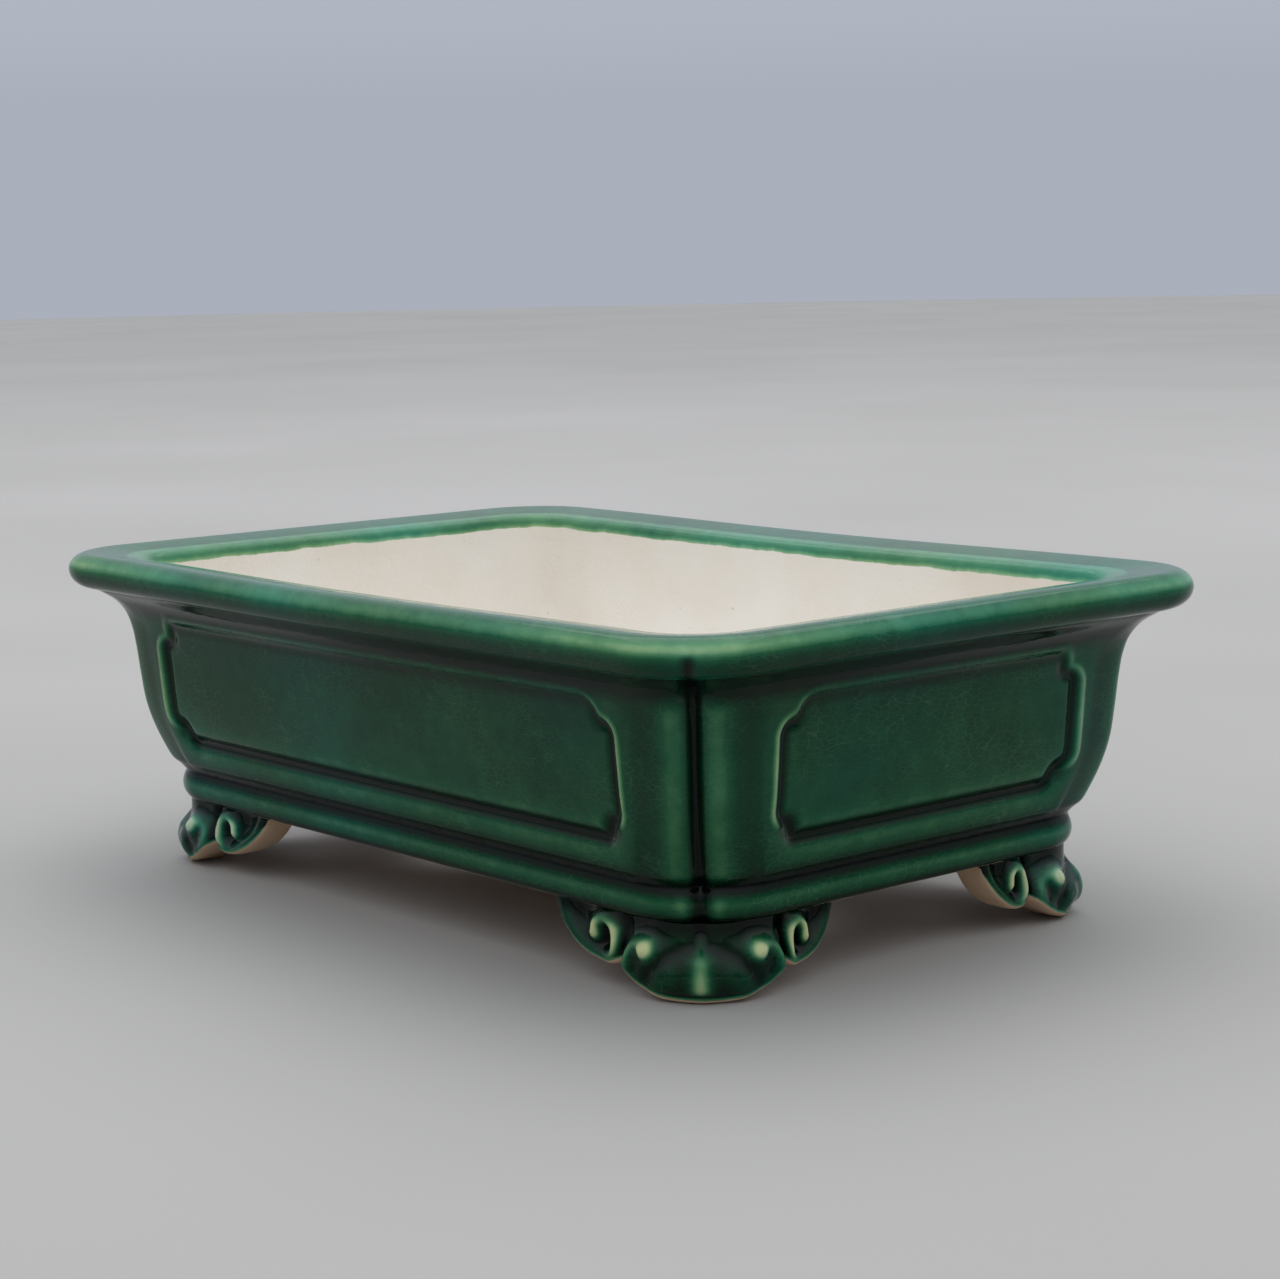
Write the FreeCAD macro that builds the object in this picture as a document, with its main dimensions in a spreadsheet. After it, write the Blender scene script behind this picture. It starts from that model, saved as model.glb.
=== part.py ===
"""Rectangular glazed bonsai pot on four corner feet, slab-built from separate clay pieces.

+Z is up, the long side runs along X, and the origin is under the middle of the pot on the
surface that it stands on. All sizes are millimetres and come from the sheet "Sizes".
"""
import FreeCAD, Part
import math
import os
import Sketcher

SIZES = {
    # rim: four mitred strips that lie on top of the walls
    "rim_length": 255.0,
    "rim_width": 169.0,
    "pot_height": 81.5,
    "rim_thickness": 8.8,
    "rim_breadth": 17.5,
    "rim_corner": 21.0,
    "opening_corner": 14.5,
    "rim_edge_round": 4.3,
    "lip_round": 3.5,
    # walls: insets are measured inward from the rim's outer face
    "wall_foot_height": 25.2,
    "wall_foot_inset": 19.6,
    "wall_belly_height": 50.0,
    "wall_belly_inset": 14.0,
    "wall_belly_radius": 57.7,
    "cove_height": 58.0,
    "cove_inset": 13.4,
    "cove_top_inset": 5.0,
    "cove_radius": 17.1,
    "inner_top_inset": 17.5,
    "inner_belly_inset": 19.6,
    "inner_foot_inset": 25.2,
    "inner_belly_radius": 57.7,
    "wall_corner": 18.0,
    "crease_size": 1.2,
    # sunk panel on each wall, with stepped corners
    "panel_end_inset": 37.3,
    "panel_bottom": 32.0,
    "panel_top": 66.5,
    "panel_step": 5.0,
    "panel_depth": 1.2,
    "panel_cut_reach": 40.0,
    # floor slab, whose rounded edge is the band under the walls
    "floor_bottom": 17.0,
    "floor_inset": 19.8,
    "floor_corner": 12.2,
    "floor_edge_round": 3.6,
    "crease_pocket": 5.0,
    "drain_radius": 11.0,
    "drain_offset": 52.0,
    "wire_hole_radius": 2.5,
    "wire_offset_long": 80.0,
    "wire_offset_short": 34.0,
    # feet: an L with two lobes on each leg, distances measured from the foot's outer corner
    "foot_inset": 21.0,
    "foot_corner": 11.0,
    "foot_thickness": 10.0,
    "foot_leg_long": 49.0,
    "foot_leg_short": 40.0,
    "lobe_notch": 26.5,
    "lobe_notch_height": 6.0,
    "lobe_toe": 15.0,
    "lobe_toe_radius": 14.0,
    "lobe_toe_dip": 0.2,
    "lobe_wing_radius_long": 21.0,
    "lobe_wing_radius_short": 15.0,
    "foot_sole_round": 2.5,
}
CLEARANCE = 2.0  # how far a cutting outline runs past the solid that it cuts
TOUCH = 0.01  # points nearer than this to a face lie on it
MITRE_MARGIN = 0.2  # points farther than this from a mitre plane aren't on the mitre
END_MARGIN = 0.1  # how far an edge's points keep from a wall's foot and top
LEAST_CUT = 1.0  # cubic millimetres that every pocket has to take away
HALF_LENGTH = "Sizes.rim_length / 2"
HALF_WIDTH = "Sizes.rim_width / 2"
ROUND_SHARE = "(1 - sqrt(0.5))"  # how far a corner arc of radius 1 falls back along each side
RIM_BOTTOM = "Sizes.pot_height - Sizes.rim_thickness"

# name, half length and half width of the pot seen from that side, turn about Z in degrees
SIDES = (
    ("front", HALF_LENGTH, HALF_WIDTH, 0),
    ("right", HALF_WIDTH, HALF_LENGTH, 90),
    ("back", HALF_LENGTH, HALF_WIDTH, 180),
    ("left", HALF_WIDTH, HALF_LENGTH, 270),
)
# name, sign of X and sign of Y of each foot
CORNERS = (
    ("front_left", -1, -1),
    ("front_right", 1, -1),
    ("back_left", -1, 1),
    ("back_right", 1, 1),
)

doc = FreeCAD.newDocument("bonsai_pot")
sheet = doc.addObject("Spreadsheet::Sheet", "Sizes")


def fill_sheet():
    """Writes one named size on each row of the sheet."""
    for row, (name, size) in enumerate(SIZES.items(), start=1):
        sheet.set("A%d" % row, name)
        sheet.set("B%d" % row, str(size))
        sheet.setAlias("B%d" % row, name)
    doc.recompute()


def value(expression):
    """The number that an expression on the sheet gives."""
    return float(sheet.evalExpression(expression))


def sub_part(name):
    body = doc.addObject("PartDesign::Body", name)
    body.Label = name
    return body


def origin_plane(body, role):
    return next(feature for feature in body.Origin.OriginFeatures if feature.Role == role)


def new_sketch(body, name, role, height="0"):
    """A sketch on one of the body's own origin planes, moved along that plane's normal."""
    sketch = body.newObject("Sketcher::SketchObject", name)
    sketch.AttachmentSupport = [(origin_plane(body, role), "")]
    sketch.MapMode = "FlatFace"
    sketch.setExpression("AttachmentOffset.Base.z", height)
    return sketch


def pin_point(sketch, curve, end, point):
    """Dimensions one end of a curve from the sketch's origin, bound to the sheet."""
    for kind, text in zip(("DistanceX", "DistanceY"), point):
        index = sketch.addConstraint(Sketcher.Constraint(kind, -1, 1, curve, end, value(text)))
        sketch.setExpression("Constraints[%d]" % index, text)


def arc_between(start, end, radius):
    """The short arc from start to end; a positive radius turns left, a negative one right."""
    chord = end - start
    reach = math.sqrt(radius ** 2 - (chord.Length / 2) ** 2)
    side = FreeCAD.Vector(-chord.y, chord.x, 0).normalize() * math.copysign(reach, radius)
    centre = (start + end) / 2 + side
    first, last = (start, end) if radius > 0 else (end, start)
    angles = [math.atan2(point.y - centre.y, point.x - centre.x) for point in (first, last)]
    circle = Part.Circle(centre, FreeCAD.Vector(0, 0, 1), abs(radius))
    return Part.ArcOfCircle(circle, angles[0], angles[1])


def draw_outline(sketch, corners, closed=True):
    """Joins corners (x, y, radius expression or None, turn); None is a straight run to the next."""
    points = [FreeCAD.Vector(value(x), value(y), 0) for x, y, radius, turn in corners]
    runs = len(corners) if closed else len(corners) - 1
    ends = []
    for number in range(runs):
        x, y, radius, turn = corners[number]
        start, end = points[number], points[(number + 1) % len(points)]
        if radius is None:
            curve = sketch.addGeometry(Part.LineSegment(start, end), False)
            first, last = 1, 2
        else:
            curve = sketch.addGeometry(arc_between(start, end, turn * value(radius)), False)
            first, last = (1, 2) if turn > 0 else (2, 1)
            index = sketch.addConstraint(Sketcher.Constraint("Radius", curve, value(radius)))
            sketch.setExpression("Constraints[%d]" % index, radius)
        pin_point(sketch, curve, first, (x, y))
        ends.append((curve, first, last))
    for number in range(runs if closed else runs - 1):
        curve, first, last = ends[number]
        following = ends[(number + 1) % runs]
        sketch.addConstraint(Sketcher.Constraint("Coincident", curve, last, following[0], following[1]))
    if not closed:
        pin_point(sketch, ends[-1][0], ends[-1][2], corners[-1][:2])


def pad(body, name, sketch, length):
    feature = body.newObject("PartDesign::Pad", name)
    feature.Profile = sketch
    feature.setExpression("Length", length)
    doc.recompute()
    return feature


def pocket(body, name, sketch, length):
    """Cuts along the sketch's normal and checks that the cut took something away."""
    before = body.Shape.Volume
    feature = body.newObject("PartDesign::Pocket", name)
    feature.Profile = sketch
    feature.setExpression("Length", length)
    feature.Reversed = True
    doc.recompute()
    if body.Shape.Volume > before - LEAST_CUT:
        raise RuntimeError("%s cuts nothing" % name)
    return feature


def edges_where(shape, test):
    """Names of the edges whose points at a tenth, a half and nine tenths all pass the test."""
    names = []
    for number, edge in enumerate(shape.Edges, start=1):
        span = edge.LastParameter - edge.FirstParameter
        points = [edge.valueAt(edge.FirstParameter + span * share) for share in (0.1, 0.5, 0.9)]
        if all(test(point) for point in points):
            names.append("Edge%d" % number)
    return names


def dress(body, kind, name, base, edges, size_property, size):
    """A fillet or a chamfer on the named edges."""
    feature = body.newObject("PartDesign::%s" % kind, name)
    feature.Base = (base, edges)
    feature.setExpression(size_property, size)
    doc.recompute()
    return feature


def turned(angle):
    return FreeCAD.Placement(FreeCAD.Vector(), FreeCAD.Rotation(FreeCAD.Vector(0, 0, 1), angle))


def rim_strip(side, half_length, half_width, angle):
    """A flat strip with mitred ends, a full round outside and a softly rounded lip inside."""
    body = sub_part("rim_" + side)
    outer_drop = "Sizes.rim_corner * " + ROUND_SHARE
    inner_drop = "(Sizes.rim_breadth + Sizes.opening_corner * %s)" % ROUND_SHARE
    outer_run = "(%s - Sizes.rim_corner)" % half_length
    inner_run = "(%s - Sizes.rim_breadth - Sizes.opening_corner)" % half_length
    outer_end = "(%s - %s)" % (half_length, outer_drop)
    inner_end = "(%s - %s)" % (half_length, inner_drop)
    outer_y = "-(%s)" % half_width
    inner_y = "-(%s - Sizes.rim_breadth)" % half_width
    sketch = new_sketch(body, "plan_" + side, "XY_Plane", RIM_BOTTOM)
    draw_outline(sketch, [
        ("-" + outer_end, "-(%s - %s)" % (half_width, outer_drop), "Sizes.rim_corner", 1),
        ("-" + outer_run, outer_y, None, 0),
        (outer_run, outer_y, "Sizes.rim_corner", 1),
        (outer_end, "-(%s - %s)" % (half_width, outer_drop), None, 0),
        (inner_end, "-(%s - %s)" % (half_width, inner_drop), "Sizes.opening_corner", -1),
        (inner_run, inner_y, None, 0),
        ("-" + inner_run, inner_y, "Sizes.opening_corner", -1),
        ("-" + inner_end, "-(%s - %s)" % (half_width, inner_drop), None, 0),
    ])
    strip = pad(body, "strip_" + side, sketch, "Sizes.rim_thickness")
    mitre = value(half_length) - value(half_width)
    middle = value("Sizes.pot_height - Sizes.rim_thickness / 2")
    split = value("%s - Sizes.rim_breadth / 2" % half_width)
    opening = value("%s - Sizes.rim_breadth" % half_width)

    def off_mitre(point):
        return abs(abs(point.x) + point.y - mitre) > MITRE_MARGIN

    def reach(point):
        """Distance out from the pot's long axis, or the matching distance round a corner."""
        return max(-point.y, abs(point.x) - mitre)

    def is_level(point):
        return abs(abs(point.z - middle) - value("Sizes.rim_thickness / 2")) < TOUCH

    outside = edges_where(strip.Shape, lambda p: is_level(p) and off_mitre(p) and reach(p) > split)
    rounded = dress(body, "Fillet", "bullnose_" + side, strip, outside, "Radius",
                    "Sizes.rim_edge_round")
    lip = edges_where(rounded.Shape, lambda p: p.z > middle and is_level(p) and off_mitre(p)
                      and reach(p) < opening + TOUCH)
    dress(body, "Fillet", "lip_" + side, rounded, lip, "Radius", "Sizes.lip_round")
    body.Placement = turned(angle)
    return body


def wall_section(half_width, depth="0"):
    """Outer face of a wall from its foot to its top, moved inward by a depth."""
    def across(inset):
        return "-(%s - Sizes.%s - %s)" % (half_width, inset, depth)
    return [
        (across("wall_foot_inset"), "Sizes.wall_foot_height", "Sizes.wall_belly_radius", -1),
        (across("wall_belly_inset"), "Sizes.wall_belly_height", None, 0),
        (across("cove_inset"), "Sizes.cove_height", "Sizes.cove_radius", 1),
        (across("cove_top_inset"), RIM_BOTTOM, None, 0),
    ]


def wall_slab(side, half_length, half_width):
    """Half a wall swept from its middle round to the mitre, then mirrored, with eased mitres."""
    body = sub_part("slab_of_wall_" + side)
    profile = new_sketch(body, "section_" + side, "YZ_Plane")
    inner = [
        ("-(%s - Sizes.inner_top_inset)" % half_width, RIM_BOTTOM, None, 0),
        ("-(%s - Sizes.inner_belly_inset)" % half_width, "Sizes.wall_belly_height",
         "Sizes.inner_belly_radius", 1),
        ("-(%s - Sizes.inner_foot_inset)" % half_width, "Sizes.wall_foot_height", None, 0),
    ]
    draw_outline(profile, wall_section(half_width) + inner)
    path = new_sketch(body, "path_" + side, "XY_Plane")
    run_end = "(%s - Sizes.wall_belly_inset - Sizes.wall_corner)" % half_length
    arc_end = "(%s - Sizes.wall_belly_inset - Sizes.wall_corner * %s)"
    draw_outline(path, [
        ("0", "-(%s - Sizes.wall_belly_inset)" % half_width, None, 0),
        (run_end, "-(%s - Sizes.wall_belly_inset)" % half_width, "Sizes.wall_corner", 1),
        (arc_end % (half_length, ROUND_SHARE), "-" + arc_end % (half_width, ROUND_SHARE), None, 0),
    ], closed=False)
    half = body.newObject("PartDesign::AdditivePipe", "half_" + side)
    half.Profile = profile
    half.Spine = (path, ["Edge1", "Edge2"])
    doc.recompute()
    whole = body.newObject("PartDesign::Mirrored", "whole_" + side)
    whole.Originals = [half]
    whole.MirrorPlane = (origin_plane(body, "YZ_Plane"), [""])
    body.Tip = whole
    doc.recompute()
    mitre = value(half_length) - value(half_width)

    def middle_inset(height):
        """Inset of a line that runs midway between the outer and the inner face."""
        if height > value("Sizes.wall_belly_height"):
            return value("(Sizes.cove_inset + Sizes.inner_top_inset) / 2")
        foot = value("(Sizes.wall_foot_inset + Sizes.inner_foot_inset) / 2")
        belly = value("(Sizes.wall_belly_inset + Sizes.inner_belly_inset) / 2")
        rise = height - value("Sizes.wall_foot_height")
        return foot + (belly - foot) * rise / value("Sizes.wall_belly_height - Sizes.wall_foot_height")

    def on_outer_mitre(point):
        rise = point.z - value("Sizes.wall_foot_height")
        inside = END_MARGIN < rise < value("%s - Sizes.wall_foot_height" % RIM_BOTTOM) - END_MARGIN
        corner_round = value("Sizes.wall_corner * " + ROUND_SHARE)
        inset = value(half_width) + point.y - corner_round
        on_mitre = abs(abs(point.x) + point.y - mitre) < TOUCH
        return inside and on_mitre and inset < middle_inset(point.z)

    creased = edges_where(whole.Shape, on_outer_mitre)
    dress(body, "Chamfer", "crease_" + side, whole, creased, "Size", "Sizes.crease_size")
    return body


def panel_prism(side, half_length, half_width):
    """A prism with the panel's outline, whose corners step in with two quarter rounds."""
    body = sub_part("panel_outline_" + side)
    sketch = new_sketch(body, "panel_plan_" + side, "XZ_Plane",
                        "%s - Sizes.panel_cut_reach" % half_width)
    end = "(%s - Sizes.panel_end_inset)" % half_length
    low, high, step = "Sizes.panel_bottom", "Sizes.panel_top", "Sizes.panel_step"
    corners = []
    for sign_x, sign_z in ((1, -1), (1, 1), (-1, 1), (-1, -1)):
        edge = low if sign_z < 0 else high
        far = ("%d * (%s - 2 * %s)" % (sign_x, end, step), "%s" % edge)
        cusp = ("%d * (%s - %s)" % (sign_x, end, step), "%s - %d * %s" % (edge, sign_z, step))
        near = ("%d * %s" % (sign_x, end), "%s - %d * 2 * %s" % (edge, sign_z, step))
        ring = (far, cusp, near) if sign_x * sign_z < 0 else (near, cusp, far)
        corners.append(ring[0] + (step, 1))
        corners.append(ring[1] + (step, 1))
        corners.append(ring[2] + (None, 0))
    draw_outline(sketch, corners)
    pad(body, "panel_prism_" + side, sketch, "Sizes.panel_cut_reach + %g" % CLEARANCE)
    return body


def panel_skin(side, half_length, half_width):
    """Everything outside a surface that lies one panel depth behind the wall's outer face."""
    body = sub_part("panel_skin_" + side)
    sketch = new_sketch(body, "skin_section_" + side, "YZ_Plane", "-(%s)" % half_length)
    corners = wall_section(half_width, "Sizes.panel_depth")
    outside = "-(%s + %g)" % (half_width, CLEARANCE)
    corners.append((outside, RIM_BOTTOM, None, 0))
    corners.append((outside, "Sizes.wall_foot_height", None, 0))
    draw_outline(sketch, corners)
    pad(body, "skin_" + side, sketch, "2 * (%s)" % half_length)
    return body


def wall(side, half_length, half_width, angle):
    """A wall slab with its panel sunk by an even depth behind the curved outer face."""
    recess = doc.addObject("Part::Common", "recess_" + side)
    recess.Base = panel_prism(side, half_length, half_width)
    recess.Tool = panel_skin(side, half_length, half_width)
    piece = doc.addObject("Part::Cut", "wall_" + side)
    piece.Base = wall_slab(side, half_length, half_width)
    piece.Tool = recess
    piece.Label = "wall_" + side
    piece.Placement = turned(angle)
    doc.recompute()
    return piece


def rounded_rectangle(sketch, half_x, half_y, radius):
    corners = []
    for sign_x, sign_y in ((1, -1), (1, 1), (-1, 1), (-1, -1)):
        on_x = ("%d * (%s - %s)" % (sign_x, half_x, radius), "%d * (%s)" % (sign_y, half_y))
        on_y = ("%d * (%s)" % (sign_x, half_x), "%d * (%s - %s)" % (sign_y, half_y, radius))
        first, last = (on_x, on_y) if sign_x * sign_y < 0 else (on_y, on_x)
        corners.append(first + (radius, 1))
        corners.append(last + (None, 0))
    draw_outline(sketch, corners)


def add_hole(sketch, x, y, radius):
    place = FreeCAD.Vector(value(x), value(y), 0)
    circle = Part.Circle(place, FreeCAD.Vector(0, 0, 1), value(radius))
    curve = sketch.addGeometry(circle, False)
    index = sketch.addConstraint(Sketcher.Constraint("Radius", curve, value(radius)))
    sketch.setExpression("Constraints[%d]" % index, radius)
    pin_point(sketch, curve, 3, (x, y))


def floor_slab():
    """The floor: a slab with a rounded edge, creased corners, drain holes and tie-wire holes."""
    body = sub_part("floor_slab")
    half_x = "(%s - Sizes.floor_inset)" % HALF_LENGTH
    half_y = "(%s - Sizes.floor_inset)" % HALF_WIDTH
    plan = new_sketch(body, "floor_plan", "XY_Plane", "Sizes.floor_bottom")
    rounded_rectangle(plan, half_x, half_y, "Sizes.floor_corner")
    slab = pad(body, "floor_pad", plan, "Sizes.wall_foot_height - Sizes.floor_bottom")
    heights = (value("Sizes.floor_bottom"), value("Sizes.wall_foot_height"))
    level = edges_where(slab.Shape, lambda p: min(abs(p.z - height) for height in heights) < TOUCH)
    dress(body, "Fillet", "floor_edge", slab, level, "Radius", "Sizes.floor_edge_round")
    creases = new_sketch(body, "floor_creases", "XY_Plane")
    fall = "(Sizes.floor_corner * %s + Sizes.crease_size * sqrt(0.5))" % ROUND_SHARE
    for sign_x, sign_y in ((1, -1), (1, 1), (-1, 1), (-1, -1)):
        near = ("%d * (%s - %s)" % (sign_x, half_x, fall), "%d * (%s - %s)" % (sign_y, half_y, fall))
        far = tuple("%s + %d * Sizes.crease_pocket" % (text, sign)
                    for text, sign in zip(near, (sign_x, sign_y)))
        draw_outline(creases, [near + (None, 0), (far[0], near[1], None, 0), far + (None, 0),
                               (near[0], far[1], None, 0)])
    pocket(body, "floor_crease_cut", creases, "Sizes.pot_height")
    holes = new_sketch(body, "floor_holes", "XY_Plane")
    for sign in (1, -1):
        add_hole(holes, "%d * Sizes.drain_offset" % sign, "0", "Sizes.drain_radius")
        for other in (1, -1):
            add_hole(holes, "%d * Sizes.wire_offset_long" % sign,
                     "%d * Sizes.wire_offset_short" % other, "Sizes.wire_hole_radius")
    pocket(body, "floor_hole_cut", holes, "Sizes.pot_height")
    return body


def lobe_cutter(name, role, outer, sign, leg, wing_radius, start):
    """What has to go from under the two lobes of one leg, seen square to that leg."""
    def along(distance):
        return "%d * (%s - %s)" % (sign, outer, distance)
    top = "Sizes.floor_bottom"
    below = "-%g" % CLEARANCE
    past = "(Sizes.%s + %g)" % (leg, CLEARANCE)
    body = sub_part(name)
    sketch = new_sketch(body, "outline_of_" + name, role, start)
    draw_outline(sketch, [
        (along("Sizes." + leg), top, "Sizes." + wing_radius, sign),
        (along("Sizes.lobe_notch"), "Sizes.lobe_notch_height", "Sizes.lobe_toe_radius", sign),
        (along("Sizes.lobe_toe"), "-Sizes.lobe_toe_dip", None, 0),
        (along("Sizes.lobe_toe"), below, None, 0),
        (along(past), below, None, 0),
        (along(past), top, None, 0),
    ])
    pad(body, "prism_of_" + name, sketch, HALF_LENGTH)
    return body


def foot_blank(name, sign_x, sign_y, outer_x, outer_y):
    """An L with a rounded corner and a rounded lower edge along its outer faces."""
    body = sub_part("foot_blank_" + name)
    turn = sign_x * sign_y

    def at(back_x, back_y):
        return ("%d * (%s - %s)" % (sign_x, outer_x, back_x), "%d * (%s - %s)" % (sign_y, outer_y, back_y))

    radius, thick = "Sizes.foot_corner", "Sizes.foot_thickness"
    plan = new_sketch(body, "foot_plan_" + name, "XY_Plane")
    draw_outline(plan, [
        at("Sizes.foot_leg_long", "0") + (None, 0),
        at(radius, "0") + (radius, -turn),
        at("0", radius) + (None, 0),
        at("0", "Sizes.foot_leg_short") + (None, 0),
        at(thick, "Sizes.foot_leg_short") + (None, 0),
        at(thick, thick) + (None, 0),
        at("Sizes.foot_leg_long", thick) + (None, 0),
    ])
    block = pad(body, "foot_block_" + name, plan, "Sizes.floor_bottom")
    face_x, face_y, reach = value(outer_x), value(outer_y), value(radius)

    def on_sole_edge(point):
        back_x, back_y = face_x - abs(point.x), face_y - abs(point.y)
        on_face = min(back_x, back_y) < TOUCH
        on_arc = abs(math.hypot(back_x - reach, back_y - reach) - reach) < TOUCH
        return point.z < TOUCH and (on_face or (on_arc and max(back_x, back_y) < reach))

    sole = edges_where(block.Shape, on_sole_edge)
    dress(body, "Fillet", "foot_sole_" + name, block, sole, "Radius", "Sizes.foot_sole_round")
    return body


def foot(name, sign_x, sign_y):
    """An L-shaped foot under one corner, with a toe at the corner and a wing along each side."""
    outer_x = "(%s - Sizes.foot_inset)" % HALF_LENGTH
    outer_y = "(%s - Sizes.foot_inset)" % HALF_WIDTH
    front = doc.addObject("Part::Cut", "foot_front_lobes_" + name)
    front.Base = foot_blank(name, sign_x, sign_y, outer_x, outer_y)
    front.Tool = lobe_cutter("front_gap_" + name, "XZ_Plane", outer_x, sign_x, "foot_leg_long",
                             "lobe_wing_radius_long", "0" if sign_y < 0 else "-" + HALF_LENGTH)
    piece = doc.addObject("Part::Cut", "foot_" + name)
    piece.Base = front
    piece.Tool = lobe_cutter("side_gap_" + name, "YZ_Plane", outer_y, sign_y, "foot_leg_short",
                             "lobe_wing_radius_short", "0" if sign_x > 0 else "-" + HALF_LENGTH)
    piece.Label = "foot_" + name
    doc.recompute()
    return piece


def check_document():
    """Stops if any object of the document failed to compute."""
    for item in doc.Objects:
        if any(word in ("Invalid", "Error") for word in item.State):
            raise RuntimeError("%s did not compute: %s" % (item.Name, item.State))


def export(pieces):
    os.makedirs("parts", exist_ok=True)
    for piece in pieces:
        if piece.Shape.isNull() or not piece.Shape.isValid() or len(piece.Shape.Solids) != 1:
            raise RuntimeError("%s is not one valid solid" % piece.Label)
    for piece in pieces:
        piece.Shape.exportStep("parts/%s.step" % piece.Label)
        box = piece.Shape.BoundBox
        print("%-18s %9.1f mm3  z %5.1f to %5.1f" % (piece.Label, piece.Shape.Volume, box.ZMin, box.ZMax))


def build_pot():
    fill_sheet()
    pieces = [floor_slab()]
    for side in SIDES:
        pieces.append(rim_strip(*side))
        pieces.append(wall(*side))
    for corner in CORNERS:
        pieces.append(foot(*corner))
    doc.recompute()
    check_document()
    export(pieces)


build_pot()
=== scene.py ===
"""A glazed bonsai pot, drawn around its CAD frame in Blender.

Every visible piece replaces the CAD node of the same name. Shape functions work in millimetres, in
coordinates along one side of the pot, and new_object() turns them into metres.
"""
import math

import bmesh
import bpy
import numpy as np
from mathutils import Matrix, Vector
from mathutils.geometry import delaunay_2d_cdt


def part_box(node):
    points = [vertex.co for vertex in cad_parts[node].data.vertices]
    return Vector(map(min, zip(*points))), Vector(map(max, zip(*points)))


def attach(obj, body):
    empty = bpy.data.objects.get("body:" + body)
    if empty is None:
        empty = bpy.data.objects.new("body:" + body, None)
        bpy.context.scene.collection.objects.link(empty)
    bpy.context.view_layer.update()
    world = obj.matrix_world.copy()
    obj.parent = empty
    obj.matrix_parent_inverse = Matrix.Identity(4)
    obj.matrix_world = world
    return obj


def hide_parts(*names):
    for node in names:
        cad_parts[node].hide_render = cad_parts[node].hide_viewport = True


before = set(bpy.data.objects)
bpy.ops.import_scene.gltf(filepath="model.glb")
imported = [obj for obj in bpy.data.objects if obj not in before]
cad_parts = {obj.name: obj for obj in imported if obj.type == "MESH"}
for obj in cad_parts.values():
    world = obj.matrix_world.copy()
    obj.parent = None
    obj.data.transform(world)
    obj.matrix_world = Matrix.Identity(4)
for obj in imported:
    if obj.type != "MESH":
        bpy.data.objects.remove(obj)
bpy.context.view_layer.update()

MM = 0.001

# ---------------------------------------------------------------- sizes read from the frame, in mm


def low(node, axis):
    """The lowest coordinate of a CAD node along an axis, in mm."""
    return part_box(node)[0][axis] / MM


def high(node, axis):
    """The highest coordinate of a CAD node along an axis, in mm."""
    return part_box(node)[1][axis] / MM


X, Y, Z = 0, 1, 2
HALF_LENGTH = high("rim_right", X)
HALF_WIDTH = high("rim_back", Y)
TOP = high("rim_front", Z)
RIM_LOW = low("rim_front", Z)
WALL_LOW = low("wall_front", Z)
FLOOR_LOW = low("floor_slab", Z)

# ---------------------------------------------------------------- shape of the pot, in mm

CORNER_RADIUS = 18.0        # of the walls, in plan
CORNER_INSET = 14.0         # inset of the wall surface that arc lengths are measured on
CORNER_CENTRE = CORNER_INSET + CORNER_RADIUS
CORNER_BLEND = 10.0         # length over which columns shift to keep to the mitre
BAND_CORNER = 20.0          # of the band, in plan
RIM_BREADTH = 17.5
RIM_CORNER = 21.0
RIM_FOOT_CORNER = 19.5      # under the rim, where the walls run out into it
INNER_CORNER = 13.0
SAG = 0.7                   # how far the middle of a long rim sinks in drying and firing
FINE_STEP = 0.5             # mesh spacing near the corners
COARSE_STEP = 1.5           # and along the middle of a side
FINE_RUN = 42.0             # length of the fine mesh, from a corner

WALL_OUTSIDE = [            # inset, height of the outer face of a wall, from the foot up
    (20.8, 25.2), (20.6, 25.6), (20.0, 26.5), (18.9, 28.2), (16.3, 35.6), (14.7, 42.5), (13.9, 50.0),
    (13.3, 57.0), (12.6, 62.0), (11.2, 66.0), (8.7, 69.5), (5.6, 72.0), (4.8, 72.7),
]
WALL_INSIDE = [(17.5, 72.7), (18.2, 60.0), (19.6, 50.0), (22.0, 38.0), (25.2, 25.2)]
BAND = [                    # inset, height of the base band, from the groove over it down
    (20.8, 25.2), (20.7, 24.6), (20.4, 23.7), (20.1, 22.6), (19.9, 21.2),
    (20.0, 19.9), (20.3, 18.8), (20.9, 17.7), (21.9, 17.1), (23.0, 17.0), (27.0, 17.0),
]

PANEL_END_INSET = 37.0      # from the rim's outer face to the end of a panel
PANEL_LOW = 32.0
PANEL_HIGH = 66.5
PANEL_STEP = 5.0            # size of the stepped panel corners
PANEL_ROUND = 4.6
BEAD_HEIGHT = 0.6           # of the raised line round a panel
BEAD_WIDTH = 0.9
BEAD_SOFTNESS = 0.5         # how far the stepped corners are softened along the bead
GROOVE_DEPTH = 0.95
GROOVE_WIDTH = 1.4
GROOVE_INSET = 2.0          # of the groove inside the bead
GROOVE_SOFTNESS = 1.8
POOL_DEPTH = 0.7            # of the dimple in each lower corner of the groove
POOL_WIDTH = 2.0
FIELD_DEPTH = 0.75          # how far a panel's field lies back at its edges
FIELD_RISE = 0.6            # how much of that it wins back in its middle
FIELD_CENTRE = 49.0         # height of the field's middle
FIELD_REACH = 18.0          # and how far it runs up and down from there

CREASE_DEPTH = 1.5          # of the cut down each corner
CREASE_WIDTH = 1.65

BULLNOSE = 4.4              # radius of the rim's outer roll
LIP = 3.2                   # radius of the rim's inner edge
RIM_DIP = 1.4               # how far the rim's top falls towards its inner edge
GLAZE_LINE = 4.6            # how far the glaze runs down inside the rim

DRAIN_RADIUS = 11.0
DRAIN_PLACE = 52.0
WIRE_RADIUS = 2.5
WIRE_PLACE = (80.0, 34.0)
HOLE_ROUND = 1.0
FLOOR_TOP_INSET = 25.2      # where the floor's flat top starts, under the walls

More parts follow.
